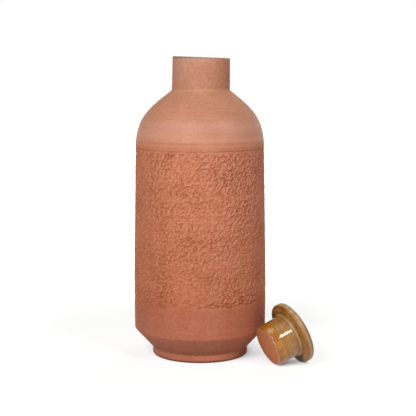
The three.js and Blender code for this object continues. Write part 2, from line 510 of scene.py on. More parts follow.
def mark_layer(tree, flat, sizes, swirl, turn, seed):
    """One layer of cuts, which comes back turn after turn round the wall. Returns how deep they press and how
    high their lips stand."""
    marks = scattered_cuts(tree, sizes, swirl, turn, seed)
    flat_split = add(tree, "ShaderNodeSeparateXYZ", (flat,))
    wrapped = add(tree, "ShaderNodeMath", (flat_split[0], turn), operation="FLOORED_MODULO")[0]
    here = add(tree, "ShaderNodeCombineXYZ", (wrapped, flat_split[1]))[0]
    nearest = add(tree, "GeometryNodeSampleNearest", {"Geometry": marks, "Sample Position": here})[0]
    position = add(tree, "GeometryNodeInputPosition")[0]
    kept = add(tree, "GeometryNodeInputNamedAttribute", {"Name": "lie_and_size"}, data_type="FLOAT_VECTOR")[0]
    of_nearest = []
    for value in (position, kept):
        of_nearest.append(add(tree, "GeometryNodeSampleIndex", {
            "Geometry": marks, "Value": value, "Index": nearest,
        }, data_type="FLOAT_VECTOR")[0])
    centre, lie_and_size = of_nearest
    lie, scale, _ = add(tree, "ShaderNodeSeparateXYZ", (lie_and_size,))

    # The cut's own frame: along it, and across it from its gentle side to its steep one
    offset = add(tree, "ShaderNodeVectorMath", (here, centre), operation="SUBTRACT")[0]
    own = add(tree, "ShaderNodeVectorRotate", {"Vector": offset, "Angle": lie}, rotation_type="Z_AXIS")[0]
    stroke = add(tree, "ShaderNodeCombineXYZ", (sizes["Length"], sizes["Width"], 1.0))[0]
    stroke = add(tree, "ShaderNodeVectorMath", {0: stroke, "Scale": scale}, operation="SCALE")[0]
    own_scaled = add(tree, "ShaderNodeVectorMath", (own, stroke), operation="DIVIDE")[0]
    along, across, _ = add(tree, "ShaderNodeSeparateXYZ", (own_scaled,))
    along_squared = add(tree, "ShaderNodeMath", (along, along), operation="MULTIPLY")[0]
    bent = add(tree, "ShaderNodeMath", (along_squared, MARK_BEND, across), operation="MULTIPLY_ADD")[0]
    slopes = []
    for value, low, high in (
        (bent, -1.0, 0.0),
        (bent, MARK_STEEP_SHARE, 0.0),
        (along_squared, 1.0, MARK_END_SHARE),
        (bent, MARK_STEEP_SHARE / 2, 2 * MARK_STEEP_SHARE),
        (bent, 4 * MARK_STEEP_SHARE, 2 * MARK_STEEP_SHARE),
    ):
        slopes.append(add(tree, "ShaderNodeMapRange", {
            "Value": value, "From Min": low, "From Max": high,
        }, interpolation_type="SMOOTHSTEP")[0])
    gentle, steep, ends, lip_rise, lip_fall = slopes
    dent = add(tree, "ShaderNodeMath", (gentle, steep), operation="MINIMUM")[0]
    dent_and_lip = []
    for value, *shares in ((dent, ends, scale), (lip_rise, lip_fall, ends)):
        for share in shares:
            value = add(tree, "ShaderNodeMath", (value, share), operation="MULTIPLY")[0]
        dent_and_lip.append(value)
    return dent_and_lip


def main_dents(tree, flat, sizes):
    """The roller's main dents, in two columns a turn that are staggered by half a dent. Returns how deep."""
    around, height, _ = add(tree, "ShaderNodeSeparateXYZ", (flat,))
    turns = add(tree, "ShaderNodeMath", (around, sizes["Roller Turn"]), operation="DIVIDE")[0]
    rows = add(tree, "ShaderNodeMath", (height, sizes["Main Dent Height"]), operation="DIVIDE")[0]
    deep = 0.0
    for stagger in (0.0, 0.5):
        column = add(tree, "ShaderNodeMath", (turns, stagger), operation="ADD")[0]
        angle = add(tree, "ShaderNodeMath", (column, 2 * math.pi), operation="MULTIPLY")[0]
        wave = add(tree, "ShaderNodeMath", (angle,), operation="COSINE")[0]
        row = add(tree, "ShaderNodeMath", (rows, stagger), operation="ADD")[0]
        up = add(tree, "ShaderNodeMath", (row,), operation="FRACT")[0]
        sides = []
        for value, low, high in ((wave, -1.0, 1.0), (up, 0.0, MAIN_EDGE_SHARE), (up, 1.0, MAIN_EDGE_SHARE)):
            sides.append(add(tree, "ShaderNodeMapRange", {
                "Value": value, "From Min": low, "From Max": high,
            })[0])
        inside, deepening, ending = sides
        dent = add(tree, "ShaderNodeMath", (deepening, ending), operation="MINIMUM")[0]
        deep = add(tree, "ShaderNodeMath", (dent, inside, deep), operation="MULTIPLY_ADD")[0]
    return deep


def pressed_share(tree, sizes, noises):
    """How hard the roller pressed each point of the wall, which is nil outside the band."""
    position = add(tree, "GeometryNodeInputPosition")[0]
    x, _, height = add(tree, "ShaderNodeSeparateXYZ", (position,))
    outside = add(tree, "GeometryNodeInputNamedAttribute", {"Name": "outside"}, data_type="FLOAT")[0]

    # The lower edge of the band wanders and drops to the left, and the upper edge stops at the scored line.
    wander = add(tree, "ShaderNodeMath", (
        noises["wander"]["Fac"], sizes["Edge Wander"], sizes["Bottom"],
    ), operation="MULTIPLY_ADD")[0]
    to_left = add(tree, "ShaderNodeMapRange", {
        "Value": x, "From Min": 0.0, "From Max": -BELLY_RADIUS * MM,
    })[0]
    drop = add(tree, "ShaderNodeMath", (to_left, sizes["Edge Drop"]), operation="MULTIPLY")[0]
    low_edge = add(tree, "ShaderNodeMath", (wander, drop), operation="SUBTRACT")[0]
    low_fade = add(tree, "ShaderNodeMath", (
        to_left, sizes["Left Edge Fade"], sizes["Lower Edge Fade"],
    ), operation="MULTIPLY_ADD")[0]
    low_full = add(tree, "ShaderNodeMath", (low_edge, low_fade), operation="ADD")[0]
    top_full = add(tree, "ShaderNodeMath", (sizes["Top"], sizes["Edge Fade"]), operation="SUBTRACT")[0]
    tooled = outside
    for edge, full in ((low_edge, low_full), (sizes["Top"], top_full)):
        within = add(tree, "ShaderNodeMapRange", {
            "Value": height, "From Min": edge, "From Max": full,
        }, interpolation_type="SMOOTHSTEP")[0]
        tooled = add(tree, "ShaderNodeMath", (tooled, within), operation="MULTIPLY")[0]

    # The roller pressed less hard at both sides and low down, and unevenly from patch to patch.
    presses = []
    for side, pressed in ((BELLY_RADIUS, "Right Press"), (-BELLY_RADIUS, "Left Press")):
        presses.append(add(tree, "ShaderNodeMapRange", {
            "Value": x, "From Min": SIDE_SHARE * side * MM, "From Max": side * MM,
            "To Min": 1.0, "To Max": sizes[pressed],
        })[0])
    presses.append(add(tree, "ShaderNodeMapRange", {
        "Value": height, "From Min": sizes["Bottom"], "From Max": sizes["Top"],
        "To Min": sizes["Low Press"], "To Max": sizes["High Press"],
    })[0])
    patch = add(tree, "ShaderNodeMapRange", {
        "Value": noises["patch"]["Fac"], "From Min": BROAD[0], "From Max": BROAD[1],
        "To Min": -1.0, "To Max": 1.0,
    })[0]
    presses.append(add(tree, "ShaderNodeMath", (
        patch, sizes["Patch Press"], 1.0,
    ), operation="MULTIPLY_ADD")[0])
    for press in presses:
        tooled = add(tree, "ShaderNodeMath", (tooled, press), operation="MULTIPLY")[0]
    return tooled


def laid_flat(tree, sizes, slip_noise):
    """The wall laid flat: the way round it, the height, and the slip of the roller on the wet clay."""
    position = add(tree, "GeometryNodeInputPosition")[0]
    x, y, height = add(tree, "ShaderNodeSeparateXYZ", (position,))
    angle = add(tree, "ShaderNodeMath", (y, x), operation="ARCTAN2")[0]
    turn_share = add(tree, "ShaderNodeMath", (angle, 2 * math.pi), operation="DIVIDE")[0]
    around = add(tree, "ShaderNodeMath", (turn_share, sizes["Girth"]), operation="MULTIPLY")[0]
    level_flat = add(tree, "ShaderNodeCombineXYZ", (around, height))[0]
    slip = add(tree, "ShaderNodeVectorMath", {0: slip_noise, "Scale": sizes["Slip"]}, operation="SCALE")[0]
    return add(tree, "ShaderNodeVectorMath", (level_flat, slip), operation="ADD")[0]


def tool_mark_tree(material):
    tree = bpy.data.node_groups.new("tool_marks", "GeometryNodeTree")
    tree.is_modifier = True
    for way in ("INPUT", "OUTPUT"):
        tree.interface.new_socket(name="Geometry", in_out=way, socket_type="NodeSocketGeometry")
    for name in MARK_SIZES:
        tree.interface.new_socket(name=name, in_out="INPUT", socket_type="NodeSocketFloat")
    given = add(tree, "NodeGroupInput")
    sizes = {name: given[name] for name in MARK_SIZES}
    noises = {}
    for name, (size, detail, roughness) in MARK_NOISES.items():
        scale = add(tree, "ShaderNodeMath", (1.0, sizes[size]), operation="DIVIDE")[0]
        noises[name] = add(tree, "ShaderNodeTexNoise", {
            "Scale": scale, "Detail": detail, "Roughness": roughness,
        })
    tooled = pressed_share(tree, sizes, noises)
    flat = laid_flat(tree, sizes, noises["slip"]["Color"])

    press, lip = 0.0, 0.0
    for turn, seed in MARK_LAYERS:
        dent, ridge = mark_layer(tree, flat, sizes, noises["swirl"]["Fac"], sizes[turn], seed)
        press = add(tree, "ShaderNodeMath", (dent, press), operation="MAXIMUM")[0]
        lip = add(tree, "ShaderNodeMath", (ridge, lip), operation="MAXIMUM")[0]
    relief = add(tree, "ShaderNodeMath", (lip, MARK_LIP_SHARE), operation="MULTIPLY")[0]
    relief = add(tree, "ShaderNodeMath", (relief, press), operation="SUBTRACT")[0]
    relief = add(tree, "ShaderNodeMath", (relief, tooled), operation="MULTIPLY")[0]
    crumb = add(tree, "ShaderNodeMath", (noises["crumb"]["Fac"], CRUMB_LEVEL), operation="SUBTRACT")[0]
    crumb = add(tree, "ShaderNodeMath", (crumb, sizes["Crumb Relief"]), operation="MULTIPLY")[0]
    main = main_dents(tree, flat, sizes)
    main = add(tree, "ShaderNodeMath", (main, sizes["Main Dent Depth"]), operation="MULTIPLY")[0]
    rolled = add(tree, "ShaderNodeMath", (crumb, main), operation="SUBTRACT")[0]
    rolled = add(tree, "ShaderNodeMath", (rolled, tooled), operation="MULTIPLY")[0]
    push = add(tree, "ShaderNodeMath", (relief, sizes["Depth"], rolled), operation="MULTIPLY_ADD")[0]
    position = add(tree, "GeometryNodeInputPosition")[0]
    level = add(tree, "ShaderNodeVectorMath", (position, (1, 1, 0)), operation="MULTIPLY")[0]
    outward = add(tree, "ShaderNodeVectorMath", (level,), operation="NORMALIZE")[0]
    offset = add(tree, "ShaderNodeVectorMath", {0: outward, "Scale": push}, operation="SCALE")[0]
    made = given["Geometry"]
    for name, value in (("relief", relief), ("tooled", tooled)):
        made = add(tree, "GeometryNodeStoreNamedAttribute", {
            "Geometry": made, "Name": name, "Value": value,
        }, data_type="FLOAT", domain="POINT")[0]
    moved = add(tree, "GeometryNodeSetPosition", {"Geometry": made, "Offset": offset})[0]
    real = add(tree, "GeometryNodeRealizeInstances", {"Geometry": moved})[0]
    finished = add(tree, "GeometryNodeSetMaterial", {"Geometry": real, "Material": material})[0]
    add(tree, "NodeGroupOutput", (finished,))
    return tree


def apply_tree(piece, tree, sizes):
    """Runs a Geometry Nodes tree on a piece and keeps the result as its plain mesh."""
    modifier = piece.modifiers.new(tree.name, "NODES")
    modifier.node_group = tree
    for item in tree.interface.items_tree:
        if item.in_out == "INPUT" and item.name in sizes:
            modifier[item.identifier] = sizes[item.name]
    graph = bpy.context.evaluated_depsgraph_get()
    made = bpy.data.meshes.new_from_object(piece.evaluated_get(graph))
    piece.modifiers.clear()
    piece.data = made


# Materials

CLAY_TONES = (
    # painted shade: the round of the foot's edge, which faces the table, darker
    (0.0, "#5E3024"),
    (1.3, "#8A4C3B"),
    (2.1, "#BC765A"),
    (FOOT_HEIGHT + 0.2, "#B97359"),
    # painted shade: the slope darker down into the cove over the foot
    (FOOT_HEIGHT + 1.5, "#9E5D47"),
    (FOOT_HEIGHT + 6.0, "#AC6850"),
    (ARRIS_HEIGHT - 1.0, "#B77156"),
    (ARRIS_HEIGHT + 0.5, "#B96F54"),
    (TOOLED_BOTTOM + 1.5, "#B66B50"),
    (TOOLED_BOTTOM + 5.0, "#C57859"),
    (SCORE_HEIGHT - 0.6, "#D08567"),
    # painted shade in the scored line
    (SCORE_HEIGHT, "#B67256"),
    (SCORE_HEIGHT + 0.6, "#C48162"),
    (SHOULDER_HEIGHT + 2.6, "#C58163"),
    (SHOULDER_HEIGHT + 3.2, "#BA785F"),
    # the smoothed shoulder paler, and partly a painted highlight
    (SHOULDER_HEIGHT + 4.2, "#C88A6E"),
    (SHOULDER_HEIGHT + 15.0, "#C58A71"),
    (SHOULDER_HEIGHT + 24.0, "#C48569"),
    (NECK_ROOT_HEIGHT - 1.0, "#C68B6C"),
    # painted highlight on the ring at the neck's root
    (NECK_ROOT_HEIGHT + 0.2, "#C89075"),
    (NECK_ROOT_HEIGHT + 1.4, "#BF846A"),
    (BOTTLE_HEIGHT - 4.0, "#C38B71"),
    (BOTTLE_HEIGHT - 1.6, "#C39177"),
    # painted shade on the top of the rim
    (BOTTLE_HEIGHT - 0.7, "#AF8872"),
    (BOTTLE_HEIGHT, "#8F715E"),
)


def new_material(name):
    material = bpy.data.materials.new(name)
    material.use_nodes = True
    tree = material.node_tree
    tree.nodes.clear()
    return material, tree


def shaded(tree, colour, paleness, changes):
    """The colour made lighter and darker, and paler by a share of how much lighter. Each change is a pattern,
    the values that it runs between, how much it changes the colour there, and how far it shows."""
    value = 1.0
    for pattern, low, high, at_low, at_high, shown in changes:
        change = add(tree, "ShaderNodeMapRange", {
            "Value": pattern, "From Min": low, "From Max": high, "To Min": at_low, "To Max": at_high,
        })[0]
        share = add(tree, "ShaderNodeMath", (change, shown, 1.0), operation="MULTIPLY_ADD")[0]
        value = add(tree, "ShaderNodeMath", (share, value), operation="MULTIPLY")[0]
    richness = add(tree, "ShaderNodeMath", (value, -paleness, 1.0 + paleness), operation="MULTIPLY_ADD")[0]
    return add(tree, "ShaderNodeHueSaturation", {"Color": colour, "Value": value, "Saturation": richness})[0]


# Clay surfaces, in millimetres
GRAIN_SIZE = 1.6        # sand grains, drawn about twice as coarse as real ones so that they show
GRAIN_RELIEF = 0.5
TORN_SIZE = 1.4         # torn clay inside and between the tool marks
TORN_RELIEF = 1.2
THROW_LINE = 2.2        # pitch of the fine lines left by the wet hand, and how long they run
THROW_LINE_LENGTH = 130.0
THROW_LINE_RELIEF = 0.2
MOTTLE_SIZE = 16.0
LINES_LEAST = 0.35      # how far the fine lines show under the shoulder
LINES_SHOWN = (
    # two heights, and how far the fine lines show there: most on the lower shoulder, less on the neck
    (SHOULDER_HEIGHT - 4.0, SHOULDER_HEIGHT + 4.0, LINES_LEAST, 1.0),
    (SHOULDER_HEIGHT + 12.0, SHOULDER_HEIGHT + 30.0, 1.0, 0.4),
)
GRAIN_CLOSED = 0.6      # how far the grain shows where the wet hand closed it
GRAIN_OPEN = 1.25       # and on the neck and the upper shoulder, between two heights
GRAIN_OPEN_HEIGHTS = (SHOULDER_HEIGHT + 16.0, SHOULDER_HEIGHT + 30.0)
GRAIN_SHADES = (0.75, 1.1)      # how far it colours the plain clay and the tooled
CLAY_CHANGES = (
    # a pattern, the values it runs between, how much it lightens the clay there, and what it shows by
    ("mottle", *BROAD, -0.06, 0.05, "all over"),
    ("grain", *FINE, -0.12, 0.12, "grained"),
    # painted shade in the hollows of the cuts, and painted highlight on their lips
    ("relief", -1.0, 0.0, -0.22, 0.02, "tooled"),
    ("relief", 0.03, 0.12, 0.0, 0.1, "tooled"),
    ("lines", *FINE, -0.048, 0.048, "lined"),
)
CLAY_BUMPS = (
    ("lines", "plain", THROW_LINE_RELIEF),
    ("torn", "tooled", TORN_RELIEF),
    ("grain", "coarse", GRAIN_RELIEF),
)
# The kiln's flame reddened both sides, and low on the right the clay is darkened by painted shade: a colour,
# its share, and where it starts and is full across the bottle, in shares of the belly's radius, from below
# and from above, in heights
FLASHES_AND_PAINTED_SHADE = (
    (
        "#C06A41", 0.35, (-0.3, -0.9),
        (TOOLED_BOTTOM - 2.0, TOOLED_BOTTOM + 8.0), (SHOULDER_HEIGHT + 4.0, SHOULDER_HEIGHT),
    ),
    (
        "#C06A41", 0.22, (0.4, 0.95),
        (-10.0, 0.0), (SHOULDER_HEIGHT + 4.0, SHOULDER_HEIGHT),
    ),
    # painted shade low on the right
    (
        "#7A4630", 0.14, (0.25, 0.85),
        (-10.0, 0.0), (TOOLED_BOTTOM + 8.0, TOOLED_BOTTOM - 10.0),
    ),
    (
        "#B8683F", 0.25, (0.05, 0.4),
        (NECK_ROOT_HEIGHT - 6.0, NECK_ROOT_HEIGHT), (BOTTLE_HEIGHT + 10.0, BOTTLE_HEIGHT),
    ),
)
CLAY_PALENESS = 0.35    # how much paler the lighter clay is, and redder the darker
SMOOTHED = 0.5          # roughness of the lower shoulder, which the wet hand smoothed, and of the rest
DRY = 0.95
CLAY_SPECULAR = 0.3
DUST = 0.22             # fine dry dust, which pales the clay towards its outline
DUST_SPREAD = 0.3
DUST_COLOUR = "#F4CDB0"
CLAY_NOISES = {
    # size, detail and roughness
    "mottle": (MOTTLE_SIZE, 5.0, 0.62),
    "grain": (GRAIN_SIZE, 3.0, 0.7),
    "torn": (TORN_SIZE, 1.0, 0.5),
}


def flamed_and_painted_shade(tree, colour, x, height):
    """The colour with the marks of the kiln's flame over it, and painted shade low on the right."""
    for tint, most, side_shares, from_below, from_above in FLASHES_AND_PAINTED_SHADE:
        side = [side_share * BELLY_RADIUS for side_share in side_shares]
        shown = most
        for value, (start, full) in ((x, side), (height, from_below), (height, from_above)):
            within = add(tree, "ShaderNodeMapRange", {
                "Value": value, "From Min": start * MM, "From Max": full * MM,
            })[0]
            shown = add(tree, "ShaderNodeMath", (within, shown), operation="MULTIPLY")[0]
        colour = add(tree, "ShaderNodeMix", {
            "Factor": shown, "A": colour, "B": linear(tint),
        }, data_type="RGBA")["Result"]
    return colour


def clay_patterns(tree, place, height):
    """What the clay's tones and grain show by: patterns, and how far each part of the bottle shows them."""
    patterns = {"all over": 1.0}
    for name in ("tooled", "relief"):
        patterns[name] = add(tree, "ShaderNodeAttribute", attribute_name=name)["Fac"]
    for name, (size, detail, roughness) in CLAY_NOISES.items():
        patterns[name] = add(tree, "ShaderNodeTexNoise", {
            "Vector": place, "Scale": 1 / (size * MM), "Detail": detail, "Roughness": roughness,
        })["Fac"]
    line_scale = 1 / (THROW_LINE * MM)
    round_scale = 1 / (THROW_LINE_LENGTH * MM)
    stretched = add(tree, "ShaderNodeMapping", {
        "Vector": place, "Scale": (round_scale, round_scale, line_scale),
    })[0]
    patterns["lines"] = add(tree, "ShaderNodeTexNoise", {
        "Vector": stretched, "Scale": 1.0, "Detail": 2.0,
    })["Fac"]
    patterns["plain"] = add(tree, "ShaderNodeMath", (1.0, patterns["tooled"]), operation="SUBTRACT")[0]

    lined = 1.0
    for low, high, at_low, at_high in LINES_SHOWN:
        shown = add(tree, "ShaderNodeMapRange", {
            "Value": height, "From Min": low * MM, "From Max": high * MM, "To Min": at_low, "To Max": at_high,
        })[0]
        lined = add(tree, "ShaderNodeMath", (shown, lined), operation="MULTIPLY")[0]
    open_low, open_high = GRAIN_OPEN_HEIGHTS
    coarse = 1.0
    for value, low, high, share in (
        (lined, LINES_LEAST, 1.0, GRAIN_CLOSED),
        (height, open_low * MM, open_high * MM, GRAIN_OPEN),
    ):
        shown = add(tree, "ShaderNodeMapRange", {
            "Value": value, "From Min": low, "From Max": high, "To Min": 1.0, "To Max": share,
        })[0]
        coarse = add(tree, "ShaderNodeMath", (shown, coarse), operation="MULTIPLY")[0]
    grained = add(tree, "ShaderNodeMapRange", {
        "Value": patterns["tooled"], "To Min": GRAIN_SHADES[0], "To Max": GRAIN_SHADES[1],
    })[0]
    grained = add(tree, "ShaderNodeMath", (grained, coarse), operation="MULTIPLY")[0]
    patterns.update(lined=lined, coarse=coarse, grained=grained)
    return patterns


def terracotta():
    """Unglazed earthenware, thrown and turned: dead matt, iron red, paler where the shoulder was smoothed and
    where a highlight is painted on it, with painted shade and highlight elsewhere too.
    """
    material, tree = new_material("unglazed_terracotta")
    place = add(tree, "ShaderNodeTexCoord")["Object"]
    x, _, height = add(tree, "ShaderNodeSeparateXYZ", (place,))
    rise = add(tree, "ShaderNodeMath", (height, BOTTLE_HEIGHT * MM), operation="DIVIDE")[0]
    tones = [(tone_height / BOTTLE_HEIGHT, colour) for tone_height, colour in CLAY_TONES]
    body = add(tree, "ShaderNodeValToRGB", {"Fac": rise}, stops=tones)["Color"]
    body = flamed_and_painted_shade(tree, body, x, height)
    patterns = clay_patterns(tree, place, height)
    changes = [(patterns[name], *change, patterns[shown]) for name, *change, shown in CLAY_CHANGES]
    colour = shaded(tree, body, CLAY_PALENESS, changes)

    bump = None
    for name, shown, depth in CLAY_BUMPS:
        seen = add(tree, "ShaderNodeMath", (patterns[name], patterns[shown]), operation="MULTIPLY")[0]
        sockets = {"Height": seen, "Distance": depth * MM, "Strength": 1.0}
        if bump:
            sockets["Normal"] = bump
        bump = add(tree, "ShaderNodeBump", sockets)[0]
    rough = add(tree, "ShaderNodeMapRange", {
        "Value": patterns["lined"], "From Min": LINES_LEAST, "From Max": 1.0,
        "To Min": DRY, "To Max": SMOOTHED,
    })[0]
    shader = add(tree, "ShaderNodeBsdfPrincipled", {
        "Base Color": colour, "Roughness": rough, "Specular IOR Level": CLAY_SPECULAR, "Normal": bump,
        "Sheen Weight": DUST, "Sheen Roughness": DUST_SPREAD, "Sheen Tint": linear(DUST_COLOUR),
    })[0]
    add(tree, "ShaderNodeOutputMaterial", {"Surface": shader})
    return material


GLAZE_TONES = (
    # the glaze as it ran, and painted shade and highlight: a place on the outline, as radius and length along
    # the axis, and its colour
    ((PLUG_END_RADIUS, 0.6), "#B0721E"),
    ((PLUG_END_RADIUS, 2.0), "#AE6A06"),
    ((PLUG_END_RADIUS, 5.0), "#B0721C"),
    ((PLUG_ROOT_RADIUS, 8.5), "#AC7A38"),
    ((PLUG_ROOT_RADIUS, 15.5), "#AC7A3E"),
    ((PLUG_ROOT_RADIUS, 17.0), "#946224"),
    ((COLLAR_RADIUS - 0.4, 18.1), "#AC824E"),
    ((COLLAR_RADIUS, 18.6), "#F8E6CA"),
    ((COLLAR_RADIUS, 19.0), "#B89468"),
    # darker in the corner between collar and flange: pooled glaze, and painted shade
    ((COLLAR_RADIUS, PLUG_LENGTH), "#6A4414"),
    ((19.3, PLUG_LENGTH), "#AC7830"),
    ((21.5, PLUG_LENGTH), "#AE7C36"),
    ((FLANGE_RADIUS - 1.2, PLUG_LENGTH), "#9E6012"),
    ((FLANGE_RADIUS, 21.2), "#8E5410"),
    # paler where the glaze runs thin over the flange's wall, and partly a painted highlight
    ((FLANGE_RADIUS, 22.2), "#BC9460"),
    ((FLANGE_RADIUS, 23.2), "#BC9666"),
    # painted shade along the round of the flange's top
    ((FLANGE_RADIUS - 0.3, 24.9), "#64421E"),
    ((FLANGE_RADIUS - 1.6, STOPPER_LENGTH), "#6E4820"),
    ((FLANGE_RADIUS - 4.0, STOPPER_LENGTH), "#A07034"),
    ((0.0, STOPPER_LENGTH), "#A06E2C"),
)
COLLAR_TONE = 5         # the glossy glaze of the plug ends at this tone, and from the next the glaze is satin
# The same glaze by its thickness, from thin and milky to thick
GLAZE_DEPTHS = ((0.34, "#B4925E"), (0.5, "#A07030"), (0.66, "#945808"))
GLAZE_DEPTH_SHARE = 0.35
PATCH_EDGE = 1.5         # a patch fades out at this share of its reach, and is full within the next
PATCH_FULL = 0.7
GLAZE_POOLS_AND_PAINTED_LIGHT = (
    # where it pooled or ran thin, and patches of painted shade and highlight: radius, angle from the front of
    # the stopper as it lies upwards, length along it, reach, colour and how much of it
    (PLUG_END_RADIUS, 36.0, 2.0, 6.0, "#AA5E00", 0.9),
    (PLUG_END_RADIUS, 90.0, 1.0, 6.5, "#94560C", 0.85),
    (PLUG_ROOT_RADIUS, 76.0, 13.5, 9.0, "#86622E", 0.5),
    (PLUG_END_RADIUS, 14.0, 4.0, 4.6, "#D6904A", 0.55),
    (PLUG_END_RADIUS, -12.0, 6.0, 5.0, "#D69452", 0.4),
    # painted shade along the plug's upper side, beside the bottle
    (PLUG_ROOT_RADIUS, 106.0, 9.0, 7.0, "#4E3010", 0.6),
    (19.5, 0.0, PLUG_LENGTH, 3.4, "#CC8C40", 0.5),
    # painted light under the flange, over the shade that the plug casts there
    (19.5, 60.0, PLUG_LENGTH, 3.4, "#D4AC7C", 0.3),
    (PLUG_ROOT_RADIUS, 14.0, 14.5, 5.0, "#AA6208", 0.4),
    (PLUG_ROOT_RADIUS, -42.0, 10.0, 13.0, "#B8721E", 0.5),
    (PLUG_END_RADIUS, 62.0, 3.5, 3.5, "#C89A60", 0.9),
    (PLUG_END_RADIUS, 14.0, 9.0, 5.0, "#AA6A08", 0.5),
    # painted highlight on the flange's wall
    (FLANGE_RADIUS, 46.0, 23.2, 3.0, "#C8B48C", 0.5),
    (FLANGE_RADIUS, 60.0, 23.4, 2.8, "#C8BA98", 0.45),
    (FLANGE_RADIUS, 75.0, 23.6, 2.8, "#C8BA98", 0.5),
    (22.0, 137.0, PLUG_LENGTH, 7.0, "#7A4004", 0.5),
    (23.2, 82.0, PLUG_LENGTH, 3.4, "#8A5010", 0.4),
    (23.0, 150.0, PLUG_LENGTH, 7.0, "#54300E", 0.7),
    # painted shade under the flange, next to the table
    (20.0, -75.0, PLUG_LENGTH - 1.0, 8.0, "#2E1C0C", 0.85),
)
GLAZE_PALENESS = 0.3
GLAZE_CLOUD = 7.0       # patches of thicker and thinner glaze
GLAZE_WAVE = 4.0        # how closely the gloss undulates
GLAZE_WAVE_RELIEF = 0.05
GLAZE_RING = 1.7        # faint rings round the stopper, from the throwing, and how long they run
GLAZE_RING_LENGTH = 22.0
GLAZE_SPECK = 1.6       # iron specks, drawn coarser than real ones so that they show
GLAZE_BEAD = "#EBDCC4"  # the thick white bead at the edge of the glaze, and the width it shows
GLAZE_BEAD_WIDTH = 0.6
GLAZE_BEAD_SIZE = 4.0
GLAZE_BEAD_PATCHES = (0.48, 0.58)       # noise between which the bead thickens
GLAZE_BEAD_ANGLES = (20.0, 50.0)        # where it shows, in the same angles as the pools
GLAZE_BEAD_FADE = 6.0
GLOSS = 0.08            # roughness of the plug, and of the flange, whose glaze is thinner
SATIN = 0.42
GLAZE_IOR = 1.5
GLAZE_RING_SHADES = (-0.14, 0.14)       # how much the rings and the specks darken and lighten it
GLAZE_SPECK_SHADES = (-0.1, 0.1)
GLAZE_EDGE_WANDERS = ((3.0, 0.6), (11.0, 0.4))      # how closely the wiped edge wanders, and how far

# The bare end of the plug
BARE_CLOUD = 6.0        # patches in its clay
BARE_TONES = ((0.3, "#BE764C"), (0.7, "#CE8258"))
BARE_ROUGHNESS = 0.9
BARE_PAINTED_SIDES = (-0.13, 0.11)     # painted shade on its left and painted light on its right: how much lighter it is at each
BARE_PAINTED_RIMS = (
    # a side, two shares of the radius, and how much lighter its rim is past them: painted highlight on the
    # right, painted shade on the left
    (1, 0.8, 0.92, 0.2),
    (-1, 0.6, 0.95, -0.18),
)


def pooled_and_painted(tree, body, own, cloud):
    """The glaze's colour with the places over it where it pooled or ran thin, and patches of painted shade
    and highlight.
    """
    for radius, angle, length, reach, colour, most in GLAZE_POOLS_AND_PAINTED_LIGHT:
        turn = math.radians(angle)
        centre = Vector((radius * math.cos(turn), -radius * math.sin(turn), length)) * MM
        away = add(tree, "ShaderNodeVectorMath", (own, centre), operation="DISTANCE")["Value"]
        ragged = add(tree, "ShaderNodeMath", (cloud, reach * MM, away), operation="MULTIPLY_ADD")[0]
        shown = add(tree, "ShaderNodeMapRange", {
            "Value": ragged, "From Min": PATCH_EDGE * reach * MM, "From Max": PATCH_FULL * reach * MM,
            "To Max": most,
        }, interpolation_type="SMOOTHSTEP")[0]
        body = add(tree, "ShaderNodeMix", {
            "Factor": shown, "A": body, "B": linear(colour),
        }, data_type="RGBA")["Result"]
    return body


